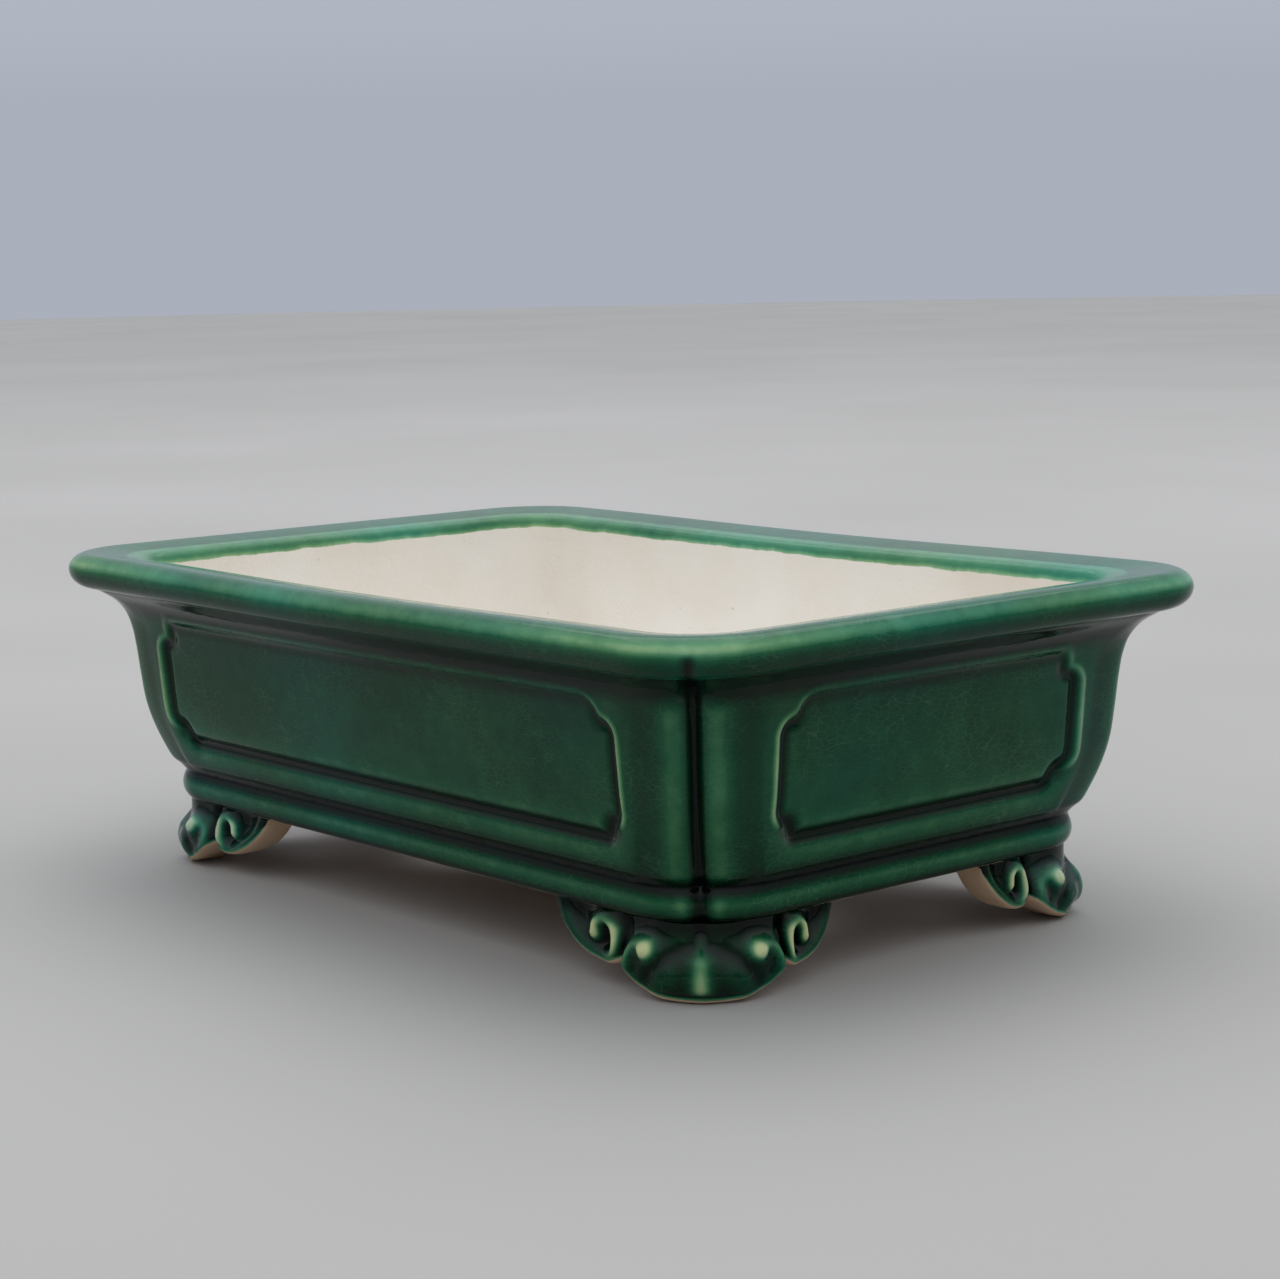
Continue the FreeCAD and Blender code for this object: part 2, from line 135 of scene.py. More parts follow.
NORMAL_DEPTH = 0.5          # glaze thickness on a plain face
ALL_GLAZED = -20.0          # distance past the glaze line, where there is only glaze
ALL_BARE = 20.0             # and where there is only clay

FOOT_CENTRE = 37.0          # inset of the centre that a foot's outline turns about
FOOT_CORNER = 16.0          # radius of the outline that distances along a foot are measured on
FOOT_BACK = 31.0            # inset of its inner face
LONG_ARM = 45.4             # reach of a foot from its corner, along the long side
SHORT_ARM = 36.4
ARM_ROOT = 21.0             # where the two lobes of a foot meet
LOBE_FLAT = 4.0             # how far the corner lobe stands flat, from the corner
LOBE_REACH = 18.0           # and how much further it rises to where the lobes meet
LOBE_RISE = 7.5
WING_LOW = 4.9              # height of the second lobe's lowest stretch
WING_START = 27.0           # which starts and ends here
WING_END = 27.5
WING_RISE = 11.6
WING_POWER = 1.6            # of the rounded curve that it rises along
SOLE_ROUND = 1.8            # rounding of a foot's lower edge
END_GAP = 0.05              # by which an arm stops short of its reach

# ---------------------------------------------------------------- one side of the pot


class Side:
    """One side of the pot: its name, its turn about Z, half its length and its distance out."""

    def __init__(self, name, turn, half, out):
        self.name = name
        self.turn = math.radians(turn)
        self.half = half
        self.out = out
        self.straight = half - CORNER_CENTRE
        self.end = self.straight + CORNER_RADIUS * math.pi / 4

    def columns(self):
        """Places along the side, from mitre to mitre, closer together near the corners."""
        inner = self.end - FINE_RUN
        fine = np.linspace(inner, self.end, int(FINE_RUN / FINE_STEP) + 1)
        middle = np.linspace(-inner, inner, int(2 * inner / COARSE_STEP) + 1)
        return np.concatenate([-fine[::-1], middle[1:-1], fine])

    def along(self, s, inset, radius):
        """How far from the side's middle a point at arc length s lies, on the straight run and past it."""
        size = np.abs(s)
        angle = np.clip((size - self.straight) / CORNER_RADIUS, 0, math.pi / 4)
        share = np.clip((size - self.straight) / CORNER_BLEND + 1, 0, 1)
        shift = share * (inset + radius - CORNER_CENTRE)
        return np.sign(s) * (np.minimum(size, self.straight) - shift + radius * np.sin(angle))

    def place(self, s, inset, height, radius=CORNER_RADIUS):
        """Points at arc length s along the side, at an inset from the rim's outer face."""
        angle = np.clip((np.abs(s) - self.straight) / CORNER_RADIUS, 0, math.pi / 4)
        out = self.out - inset - radius + radius * np.cos(angle)
        return self.turned(self.along(s, inset, radius), out, height)

    def turned(self, along, out, height):
        """Points given along the side and outwards from the pot's axis, as x, y, z."""
        c, n = math.cos(self.turn), math.sin(self.turn)
        along, out, height = np.broadcast_arrays(along, out, height)
        return np.stack([along * c + out * n, along * n - out * c, height], axis=-1)

    def corner_distance(self, s):
        """Arc length from the nearer corner's diagonal."""
        return self.end - np.abs(s)


SIDES = [
    Side("front", 0, HALF_LENGTH, HALF_WIDTH),
    Side("right", 90, HALF_WIDTH, HALF_LENGTH),
    Side("back", 180, HALF_LENGTH, HALF_WIDTH),
    Side("left", 270, HALF_WIDTH, HALF_LENGTH),
]


# ---------------------------------------------------------------- small helpers


def bell(value, width):
    """A smooth bump of height 1 at value 0."""
    return np.exp(-(value / width) ** 2)


def ease(value, start, end):
    """0 before start, 1 after end, smooth between."""
    t = np.clip((value - start) / (end - start), 0, 1)
    return t * t * (3 - 2 * t)


def smooth_line(points, count):
    """A Catmull-Rom curve through a few points, sampled evenly by length."""
    p = np.array(points, float)
    p = np.vstack([2 * p[0] - p[1], p, 2 * p[-1] - p[-2]])
    t = np.linspace(0, 1, 12, endpoint=False)[:, None]
    runs = []
    for a, b, c, d in zip(p, p[1:], p[2:], p[3:]):
        runs.append(0.5 * (2 * b + (c - a) * t + (2 * a - 5 * b + 4 * c - d) * t ** 2
                           + (3 * b - a - 3 * c + d) * t ** 3))
    curve = np.vstack(runs + [p[-2:-1]])
    gone = np.concatenate([[0], np.cumsum(np.linalg.norm(np.diff(curve, axis=0), axis=1))])
    where = np.linspace(0, gone[-1], count)
    return np.stack([np.interp(where, gone, curve[:, i]) for i in range(curve.shape[1])], axis=-1)


def blurred(field, steps):
    """The field smoothed over a number of mesh steps, mirrored at the ends of its columns."""
    reach = int(3 * steps) + 1
    kernel = bell(np.arange(-reach, reach + 1), steps * math.sqrt(2))
    kernel /= kernel.sum()
    wide = np.pad(field, ((reach, reach), (0, 0)), mode="reflect")
    wide = np.pad(wide, ((0, 0), (reach, reach)), mode="edge")
    wide = np.apply_along_axis(np.convolve, 0, wide, kernel, "valid")
    return np.apply_along_axis(np.convolve, 1, wide, kernel, "valid")


def pooling(relief, near=3.0, far=9.0):
    """How thick molten glaze ends up: more in hollows, less on ridges."""
    return 0.62 * (blurred(relief, near) - relief) + 0.38 * (blurred(relief, far) - relief)


def sag(side, s, height):
    """The lowering of a long side towards its middle, which grows with height."""
    if side.half < side.out:
        return np.zeros(np.broadcast(s, height).shape)
    share = np.clip((height - WALL_LOW) / (TOP - WALL_LOW), 0, 1) ** 2
    return SAG * share * np.cos(s / side.end * math.pi / 2) ** 2


# ---------------------------------------------------------------- meshes


def new_object(name, points, faces, sharp_faces, glaze, bare):
    """A mesh object with its glaze thickness, which also carries painted highlights and painted shade, and
    its distance past the glaze line.
    """
    mesh = bpy.data.meshes.new(name)
    mesh.from_pydata((points * MM).tolist(), [], faces)
    for label, values in (("glaze_depth_and_painted_light", glaze), ("bare_clay", bare)):
        layer = mesh.attributes.new(label, "FLOAT", "POINT")
        layer.data.foreach_set("value", np.ascontiguousarray(values, dtype=np.float32).ravel())
    mesh.polygons.foreach_set("use_smooth", [i not in sharp_faces for i in range(len(faces))])
    piece = bpy.data.objects.new(name, mesh)
    bpy.context.scene.collection.objects.link(piece)
    sharpen(mesh)
    return piece


def sharpen(mesh, limit=math.radians(50)):
    """Marks the edges where the surface turns sharply, so that they shade as edges."""
    shape = bmesh.new()
    shape.from_mesh(mesh)
    for edge in shape.edges:
        flat = any(not face.smooth for face in edge.link_faces)
        edge.smooth = not flat and edge.calc_face_angle(0) < limit
    shape.to_mesh(mesh)
    shape.free()


def loft(name, points, glaze, bare):
    """A closed tube through columns of points, its two ends filled."""
    count, rows = points.shape[:2]
    index = np.arange(count * rows).reshape(count, rows)
    a, b = index[:-1], index[1:]
    quads = np.stack([a, b, np.roll(b, -1, 1), np.roll(a, -1, 1)], axis=-1).reshape(-1, 4)
    ends = [index[0].tolist(), index[-1][::-1].tolist()]
    faces = quads.tolist() + ends
    sharp = {len(faces) - 2, len(faces) - 1}
    return new_object(name, points.reshape(-1, 3), faces, sharp, glaze, bare)


def finish_piece(piece, node, material):
    """Puts a piece in its CAD node's place."""
    piece.data.materials.append(material)
    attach(piece, "root")
    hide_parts(node)


# ---------------------------------------------------------------- walls


def rounded_box(x, z, half, bottom, top, radius):
    """Signed distance to a rounded rectangle that is symmetric about x = 0."""
    dx = np.abs(x) - half + radius
    dz = np.abs(z - (bottom + top) / 2) - (top - bottom) / 2 + radius
    outside = np.hypot(np.maximum(dx, 0), np.maximum(dz, 0))
    return outside + np.minimum(np.maximum(dx, dz), 0) - radius


def panel_distance(x, z, half, soft):
    """Signed distance to a panel's outline, whose stepped corners are softened."""
    wide = rounded_box(x, z, half, PANEL_LOW + PANEL_STEP, PANEL_HIGH - PANEL_STEP, PANEL_ROUND)
    tall = rounded_box(x, z, half - PANEL_STEP, PANEL_LOW, PANEL_HIGH, PANEL_ROUND)
    return -soft * np.logaddexp(-wide / soft, -tall / soft)


def panel_relief(x, z, half):
    """The raised bead, the groove inside it and the pillowed field of a panel."""
    upper = ease(z, 58, 67)
    lower = 1 - ease(z, 34, 40)
    height = BEAD_HEIGHT * (1 - 0.45 * upper) * (1 - 0.75 * lower)
    bead = height * bell(panel_distance(x, z, half, BEAD_SOFTNESS), BEAD_WIDTH)
    inner = panel_distance(x, z, half, GROOVE_SOFTNESS) + GROOVE_INSET
    groove = -(GROOVE_DEPTH - 0.7 * upper + 0.8 * lower) * bell(inner, GROOVE_WIDTH + 0.8 * lower)
    foot = np.hypot(np.abs(x) - half + PANEL_STEP - 0.4, z - PANEL_LOW - PANEL_STEP - 0.4)
    pool = -POOL_DEPTH * bell(foot, POOL_WIDTH)
    across = np.clip(1 - (x / half) ** 2, 0, 1)
    share = across * np.clip(1 - ((z - FIELD_CENTRE) / FIELD_REACH) ** 2, 0, 1)
    field = ease(-inner, -1.5, 2.0) * (-FIELD_DEPTH + FIELD_RISE * share ** 0.6)
    return bead + groove + pool + field


def crease(q):
    """The V cut down each corner."""
    return -CREASE_DEPTH * bell(q, CREASE_WIDTH)


def corner_relief(q, z):
    """The ridge on each side of a corner's crease and the hollow beyond it."""
    fade = (1 - ease(z, 62, 71)) * ease(z, 24, 29)
    return crease(q) + fade * (0.5 * bell(q - 5.2, 2.6) - 0.45 * bell(q - 12.6, 3.8))


def wall_rows():
    """Inset, height and corner radius around a wall's section, and the count of outer rows."""
    outer = smooth_line(WALL_OUTSIDE, 104)
    inner = smooth_line(WALL_INSIDE, 24)
    section = np.vstack([outer, inner])
    spread = (RIM_FOOT_CORNER - CORNER_RADIUS) * ease(outer[:, 1], 58, RIM_LOW)
    radius = np.concatenate([CORNER_RADIUS + spread, np.full(len(inner), INNER_CORNER)])
    return section[:, 0], section[:, 1], radius, len(outer)


def make_wall(side):
    """One wall: a slab with its outer face carved, bare clay inside."""
    s = side.columns()[:, None]
    inset, z, radius, outer = wall_rows()
    q = side.corner_distance(s)
    across = side.along(s, inset, radius)
    carved = corner_relief(q, z[None]) + panel_relief(across, z[None], side.half - PANEL_END_INSET)
    relief = np.where(np.arange(len(z)) < outer, carved, 0)
    points = side.place(s, inset - relief, z, radius)
    points[..., 2] -= sag(side, s, z[None])
    glaze = NORMAL_DEPTH + 0.5 * pooling(relief[:, :outer])
    # Darker in the groove at the wall's foot, where glaze pools, with painted shade added there; darker in
    # the cove under the rim: painted shade.
    glaze += 0.4 * bell(z[:outer] - WALL_LOW, 1.9) + 0.34 * ease(z[:outer], 64, 70)
    glaze = np.hstack([glaze, np.full((len(s), len(z) - outer), NORMAL_DEPTH)])
    bare = np.where(np.arange(len(z)) < outer, ALL_GLAZED, ALL_BARE)[None] + np.zeros_like(relief)
    return loft("wall_%s_clay" % side.name, points, glaze, bare)


# ---------------------------------------------------------------- rim


def rim_rows():
    """Inset, height and corner radius around a rim strip's section, from its foot outwards."""
    turn = np.radians(np.linspace(-84, 90, 40))
    roll = np.stack([BULLNOSE - BULLNOSE * np.cos(turn), TOP - BULLNOSE + BULLNOSE * np.sin(turn)], -1)
    flat = np.linspace(BULLNOSE + 1, RIM_BREADTH - LIP - 1.5, 14)
    dip = RIM_DIP * ((flat - BULLNOSE) / (RIM_BREADTH - LIP - BULLNOSE)) ** 1.2
    level = np.stack([flat, TOP - dip], axis=-1)
    turn = np.radians(np.linspace(90, 0, 12))
    lip_low = TOP - RIM_DIP - LIP
    lip = np.stack([RIM_BREADTH - LIP + LIP * np.cos(turn), lip_low + LIP * np.sin(turn)], axis=-1)
    inner = np.stack([np.full(8, RIM_BREADTH), np.linspace(lip_low - 0.4, RIM_LOW, 8)], axis=-1)
    section = np.vstack([roll, level, lip, inner])
    share = np.clip(section[:, 0] / RIM_BREADTH, 0, 1)
    radius = RIM_CORNER + (INNER_CORNER - RIM_CORNER) * share
    return section[:, 0], section[:, 1], radius, len(roll)


def make_rim(side):
    """One rim strip: a rolled outer edge, a nearly flat top and a rounded inner lip."""
    s = side.columns()[:, None]
    inset, z, radius, roll = rim_rows()
    q = side.corner_distance(s)
    under = 1 - ease(z, TOP - 5.6, TOP - 3.0)
    rolled = np.arange(len(z)) < roll
    outside = rolled * under
    relief = outside * (0.7 * crease(1.6 * q) - 0.1)
    points = side.place(s, inset - relief, z, radius)
    points[..., 2] -= sag(side, s, z[None])
    drop = TOP - z[None]
    # Darker over the roll's lower, downward-facing half: painted shade. Paler along its top, more so near
    # the corners: thinner glaze there plus a painted highlight.
    glaze = 0.44 + 0.14 * bell(drop - 7.0, 2.2) * rolled
    glaze = glaze - (0.12 + 0.12 * bell(q, 30)) * bell(drop - 2.2, 1.5) * rolled
    glaze = glaze + 0.4 * pooling(relief)
    inside = inset > RIM_BREADTH - LIP - 2
    glaze = np.where(inside, 0.31 + 0.03 * drop / GLAZE_LINE, glaze)
    bare = np.where(inside, drop - GLAZE_LINE, ALL_GLAZED) + np.zeros_like(glaze)
    return loft("rim_%s_clay" % side.name, points, glaze, bare)


# ---------------------------------------------------------------- floor


def circle(centre, radius, count):
    """Points round a circle."""
    turn = np.linspace(0, 2 * math.pi, count, endpoint=False)
    return np.stack([centre[0] + radius * np.cos(turn), centre[1] + radius * np.sin(turn)], axis=-1)


def hole_list():
    """Centre, radius and number of mesh sides of each hole in the floor."""
    drains = [((sx * DRAIN_PLACE, 0.0), DRAIN_RADIUS, 64) for sx in (-1, 1)]
    wires = [((sx * WIRE_PLACE[0], sy * WIRE_PLACE[1]), WIRE_RADIUS, 24)
             for sx in (-1, 1) for sy in (-1, 1)]
    return drains + wires


class Plate:
    """Collects the points and faces of the floor slab."""

    def __init__(self):
        self.points = []
        self.faces = []
        self.glaze = []
        self.bare = []

    def ring(self, points, glaze, bare):
        """Adds a ring of points and returns their numbers."""
        start = len(self.points)
        self.points += [tuple(p) for p in points]
        self.glaze += list(np.broadcast_to(glaze, len(points)))
        self.bare += list(np.broadcast_to(bare, len(points)))
        return list(range(start, start + len(points)))

    def bridge(self, first, second):
        """Joins two rings of equal length with quads."""
        for i in range(len(first)):
            j = (i + 1) % len(first)
            self.faces.append((first[i], first[j], second[j], second[i]))

    def fill(self, outer, holes, up):
        """Fills a flat face between its outline and its holes."""
        numbers = outer + [n for ring, _, _ in holes for n in ring]
        flat = [Vector(self.points[n][:2]) for n in numbers]
        edges = []
        start = 0
        for ring in [outer] + [h[0] for h in holes]:
            edges += [(start + i, start + (i + 1) % len(ring)) for i in range(len(ring))]
            start += len(ring)
        _, _, triangles, origins, _, _ = delaunay_2d_cdt(flat, edges, [], 1, 1e-5)
        for triangle in triangles:
            corner = [numbers[origins[i][0]] for i in triangle]
            middle = np.mean([self.points[n][:2] for n in corner], axis=0)
            if any(math.dist(middle, centre) < radius for _, centre, radius in holes):
                continue
            self.faces.append(tuple(corner) if up else tuple(reversed(corner)))


def band_ring(inset, height, radius):
    """One line of the base band all round the pot, creased at the corners."""
    parts = []
    for side in SIDES:
        s = side.columns()[:-1]
        q = side.corner_distance(s)
        cut = crease(q) * (1 - ease(inset, 21.6, 24.0))
        parts.append(side.place(s, inset - cut, height, radius))
    return np.vstack(parts)


def make_floor():
    """The floor slab, whose edge shows as the half-round band at the foot of the walls."""
    plate = Plate()
    section = smooth_line(BAND, 44)
    q = np.concatenate([side.corner_distance(side.columns()[:-1]) for side in SIDES])
    rings = []
    for inset, height in section:
        # Darker in the groove over the band: glaze pooling there plus painted shade.
        pool = NORMAL_DEPTH + 0.55 * bell(height - WALL_LOW, 1.8) - 0.12 * bell(height - 21.3, 1.5)
        pool = pool + 0.3 * bell(height - FLOOR_LOW - 0.9, 0.7)
        pool = pool + 0.35 * bell(q, 1.6) - 0.1 * bell(q - 3.6, 1.4)
        past = (inset - 21.5) * 1.6 - 6.0 * (q < SHORT_ARM) if height < 19 else ALL_GLAZED
        rings.append(plate.ring(band_ring(inset, height, BAND_CORNER), pool, past))
    for upper, lower in zip(rings, rings[1:]):
        plate.bridge(lower, upper)
    flat_edge = band_ring(FLOOR_TOP_INSET, WALL_LOW, CORNER_RADIUS - 1)
    inner = plate.ring(flat_edge, NORMAL_DEPTH, ALL_BARE)
    plate.bridge(rings[0], inner)
    top, bottom = [], []
    levels = [(HOLE_ROUND, WALL_LOW), (0.3, WALL_LOW - 0.3), (0.0, WALL_LOW - HOLE_ROUND),
              (0.0, FLOOR_LOW + HOLE_ROUND), (0.3, FLOOR_LOW + 0.3), (HOLE_ROUND, FLOOR_LOW)]
    for centre, radius, count in hole_list():
        hole = []
        for extra, height in levels:
            flat = circle(centre, radius + extra, count)
            outline = np.column_stack([flat, np.full(count, height)])
            hole.append(plate.ring(outline, NORMAL_DEPTH, ALL_BARE))
        for upper, lower in zip(hole, hole[1:]):
            plate.bridge(upper, lower)
        top.append((hole[0], centre, radius + HOLE_ROUND))
        bottom.append((hole[-1], centre, radius + HOLE_ROUND))
    plate.fill(inner, top, True)
    plate.fill(rings[-1], bottom, False)
    points = np.array(plate.points)
    return new_object("floor_slab_clay", points, plate.faces, set(), plate.glaze, plate.bare)


# ---------------------------------------------------------------- feet


# The carving's lines: distance from the corner along the long arm, and height.
CURL = [(31.0, 11.4), (30.6, 13.6), (28.0, 14.9), (25.2, 13.7), (24.2, 10.8), (25.0, 7.8), (28.2, 6.2),
        (33.0, 7.2), (38.0, 10.5), (41.5, 13.9), (43.5, 17.5)]
KNOB = (12.7, 11.0)
HEAD = [(13.0, 11.2), (16.0, 11.8), (18.4, 10.0), (18.8, 6.8), (17.4, 4.6), (14.0, 3.4), (9.5, 2.4)]
SPLIT = [(24.6, 4.6), (22.3, 7.0), (21.4, 10.0), (21.4, 13.5), (22.2, 17.5)]
# Height and inset of a foot's outer face beside the corner.
FOOT_SWELL = [(0.0, 25.0), (1.0, 22.6), (2.2, 21.2), (3.8, 20.3), (6.0, 19.9), (8.5, 20.4), (11.0, 21.6),
              (13.8, 22.8), (17.0, 23.0)]


def on_long_arm(u, reach):
    """A distance along a foot from its corner, as the matching distance on the long arm."""
    return np.where(u < ARM_ROOT, u, ARM_ROOT + (u - ARM_ROOT) * (LONG_ARM - ARM_ROOT) / (reach - ARM_ROOT))


def foot_outline(u):
    """The height of a foot's lower edge: the low corner lobe, then the lobe of the arm."""
    corner = LOBE_RISE * (np.maximum(u - LOBE_FLAT, 0) / LOBE_REACH) ** 2.2
    outer = np.clip((u - WING_END) / (LONG_ARM - WING_END), 0, 1)
    rise = WING_RISE * (1 - (1 - outer ** WING_POWER) ** (1 / WING_POWER))
    wing = WING_LOW + rise + 0.07 * np.maximum(WING_START - u, 0) ** 2
    return np.where(u < ARM_ROOT + 1, np.minimum(corner, wing), wing)


def stroke(u, z, line, width, start=1.0, end=1.0):
    """A raised line through a few points, start and end giving its height at its ends."""
    path = smooth_line(line, 60)
    strength = np.linspace(start, end, len(path))
    result = np.zeros(np.broadcast(u, z).shape)
    for (pu, pz), height in zip(path, strength):
        result = np.maximum(result, height * bell(np.hypot(u - pu, z - pz), width))
    return result


def foot_relief(u, z):
    """The carving of a foot: a ridge on its corner, a round lobe on each side, and a curl on each arm."""
    curl = 1.9 * stroke(u, z, CURL, 2.0, 1.1, 0.6)
    head = 1.3 * stroke(u, z, HEAD, 2.0, 1.0, 0.4)
    knob = 1.7 * bell(np.hypot((u - KNOB[0]) * 0.9, z - KNOB[1]), 2.8)
    nose = 1.3 * bell(u, 2.8) * ease(z, 0.5, 4.0) * (1 - ease(z, 9.0, 13.5))
    cheek = 0.8 * bell(np.hypot((u - 7.6) * 0.85, z - 5.8), 3.0)
    eye = -0.25 * bell(np.hypot(u - 7.4, z - 6.2), 1.2)
    brow = -0.6 * stroke(u, z, [(2.8, 12.2), (6.5, 10.6), (10.4, 7.4), (12.6, 4.6)], 1.6)
    split = -1.9 * stroke(u, z, SPLIT, 1.3)
    hollow = -1.7 * bell(np.hypot(u - 28.3, (z - 10.0) * 0.9), 2.3)
    pocket = -0.7 * bell(np.hypot(u - 36.5, z - 13.8), 2.8)
    top = 0.6 * crease(u) * ease(z, 13.0, 15.5)
    return curl + head + knob + nose + cheek + eye + brow + split + hollow + pocket + top


def foot_paleness(u, z):
    """How much thinner the glaze lies on the round heads of the carving."""
    hook = 0.28 * stroke(u, z, CURL[:6], 1.6, 1.0, 0.3)
    knob = 0.28 * bell(np.hypot(u - KNOB[0], z - KNOB[1]), 2.3)
    nose = 0.30 * bell(u, 2.2) * ease(z, 1.0, 3.0) * (1 - ease(z, 4.0, 13.0))
    tail = 0.14 * stroke(u, z, HEAD[:4], 1.5, 1.0, 0.2)
    return hook + np.maximum(knob, tail) + nose


def foot_inset(u, z):
    """The inset of a foot's outer face before carving: an S beside the corner, flatter on the arms."""
    swell = smooth_line(FOOT_SWELL, 60)
    near = np.interp(z, swell[:, 0], swell[:, 1])
    arm = 23.0 - 0.7 * bell(z - 9, 4.5)
    return near + (arm - near) * ease(u, 19, 26)


def foot_place(side, sign, u, inset, height):
    """Points of one arm of a foot; u is the distance along it from the corner's diagonal."""
    radius = FOOT_CENTRE - inset
    turned = FOOT_CORNER * math.pi / 4
    angle = np.clip(math.pi / 4 - u / FOOT_CORNER, 0, math.pi / 4)
    along = sign * (side.half - FOOT_CENTRE + radius * np.sin(angle) - np.maximum(u - turned, 0))
    out = side.out - FOOT_CENTRE + radius * np.cos(angle)
    return side.turned(along, out, height)


def foot_arm(side, sign, u, reach):
    """One arm of a foot: points, glaze thickness with painted shade at its top, and distance past the glaze
    line.
    """
    even = on_long_arm(u, reach)[:, None]
    base = foot_outline(even)
    depth = FLOOR_LOW - base
    edge = np.minimum(SOLE_ROUND, 0.4 * depth)
    z_out = base + edge + (depth - edge) * np.linspace(1, 0, 46)
    spread = even + np.zeros_like(z_out)
    relief = foot_relief(spread, z_out)
    inset_out = foot_inset(spread, z_out) - relief
    front = inset_out[:, -1:]
    middle, half = (front + FOOT_BACK) / 2, (FOOT_BACK - front) / 2
    turn = np.linspace(0, math.pi, 26)[None, 1:-1]
    inset_under = middle - half * np.sign(np.cos(turn)) * np.abs(np.cos(turn)) ** 0.5
    z_under = base + edge - edge * np.sin(turn) ** 0.6
    z_back = base + edge + (depth - edge) * np.linspace(0, 1, 10)
    inset = np.hstack([inset_out, inset_under, FOOT_BACK + np.zeros_like(z_back)])
    height = np.hstack([z_out, z_under, z_back])
    plain = np.full((len(u), inset.shape[1] - relief.shape[1]), 0.4)
    # Darker at the top of the foot, under the band: painted shade.
    thickness_and_shade = 0.62 + 0.55 * pooling(relief) - foot_paleness(spread, z_out) + 0.25 * ease(z_out, 13, 16)
    glaze = np.hstack([thickness_and_shade, plain])
    past = np.concatenate([np.linspace(-0.8, 12, turn.shape[1]), np.full(10, ALL_BARE)])
    above = np.clip((base + edge - z_out) * 1.5 - 1.6, ALL_GLAZED, 0)
    bare = np.hstack([above, past + np.zeros((len(u), 1))])
    return foot_place(side, sign, u[:, None], inset, height), glaze, bare


def make_foot(name, first, second):
    """One L-shaped foot; its arms run along the end of the first side and the start of the second."""
    arms = []
    for side, sign in ((first, 1), (second, -1)):
        reach = LONG_ARM if side.half > side.out else SHORT_ARM
        u = np.linspace(0, reach - END_GAP, 120)
        arms.append(foot_arm(side, sign, u[::-1] if sign > 0 else u[1:], reach))
    points, glaze, bare = (np.vstack(part) for part in zip(*arms))
    return loft(name + "_clay", points, glaze, bare)


# ---------------------------------------------------------------- materials

CRACKLE_CELLS = 330.0       # cells of the crazing to a metre
CRACKLE_FLATTENING = 2.4    # how much lower than wide the cells are
CRACKLE_LINE = 0.05         # width of its lines, as a share of a cell
GLAZE_SPECULAR = 0.19


def srgb(red, green, blue):
    """A colour given in display values from 0 to 255, as linear light."""
    values = [c / 255 for c in (red, green, blue)]
    return [c / 12.92 if c <= 0.04045 else ((c + 0.055) / 1.055) ** 2.4 for c in values] + [1.0]


class Nodes:
    """Adds shader nodes and links them by socket name."""

    def __init__(self, tree):
        self.tree = tree
        tree.nodes.clear()

    def add(self, kind, **inputs):
        node = self.tree.nodes.new(kind)
        for label, value in inputs.items():
            self.put(node, label.replace("_", " "), value)
        return node

    def feed(self, socket, value):
        if isinstance(value, bpy.types.NodeSocket):
            self.tree.links.new(value, socket)
        else:
            socket.default_value = value

    def put(self, node, label, value):
        self.feed(node.inputs[int(label) if label.isdigit() else label], value)

    def math(self, operation, first, second=0.0, third=0.0):
        node = self.tree.nodes.new("ShaderNodeMath")
        node.operation = operation
        for i, value in enumerate((first, second, third)):
            self.put(node, str(i), value)
        return node.outputs[0]

    def attribute(self, name):
        node = self.tree.nodes.new("ShaderNodeAttribute")
        node.attribute_name = name
        return node.outputs["Fac"]

    def noise(self, place, scale, detail, roughness=0.5):
        node = self.add("ShaderNodeTexNoise", Vector=place, Scale=scale, Detail=detail, Roughness=roughness)
        return node.outputs["Fac"]

    def ramp(self, value, stops):
        node = self.add("ShaderNodeValToRGB", Fac=value)
        bar = node.color_ramp
        bar.elements[0].position, bar.elements[0].color = stops[0]
        bar.elements[1].position, bar.elements[1].color = stops[-1]
        for position, colour in stops[1:-1]:
            bar.elements.new(position).color = colour
        return node.outputs["Color"]

    def mix(self, share, first, second):
        node = self.tree.nodes.new("ShaderNodeMix")
        node.data_type = "RGBA"
        for label, value in (("Factor", share), ("A", first), ("B", second)):
            self.feed([i for i in node.inputs if i.name == label and i.enabled][0], value)
        return [o for o in node.outputs if o.enabled][0]

    def span(self, value, start, end, low_value=0.0, high_value=1.0):
        node = self.add("ShaderNodeMapRange", Value=value)
        ends = {"From Min": start, "From Max": end, "To Min": low_value, "To Max": high_value}
        for label, number in ends.items():
            node.inputs[label].default_value = number
        return node.outputs["Result"]


def crackle(nodes, place):
    """Fine crazing lines: 1 on a line, 0 between."""
    wobble = nodes.add("ShaderNodeTexNoise", Vector=place, Scale=90.0, Detail=2.0).outputs["Color"]
    shifted = nodes.add("ShaderNodeVectorMath")
    shifted.operation = "MULTIPLY_ADD"
    nodes.put(shifted, "0", wobble)
    nodes.put(shifted, "1", (0.006, 0.006, 0.003))
    nodes.put(shifted, "2", place)
    squeezed = nodes.add("ShaderNodeMapping", Vector=shifted.outputs[0])
    squeezed.inputs["Scale"].default_value = (1.0, 1.0, CRACKLE_FLATTENING)
    cells = nodes.tree.nodes.new("ShaderNodeTexVoronoi")
    cells.feature = "DISTANCE_TO_EDGE"
    nodes.put(cells, "Vector", squeezed.outputs["Vector"])
    nodes.put(cells, "Scale", CRACKLE_CELLS)
    return nodes.span(cells.outputs["Distance"], 0.0, CRACKLE_LINE, 1.0, 0.0)


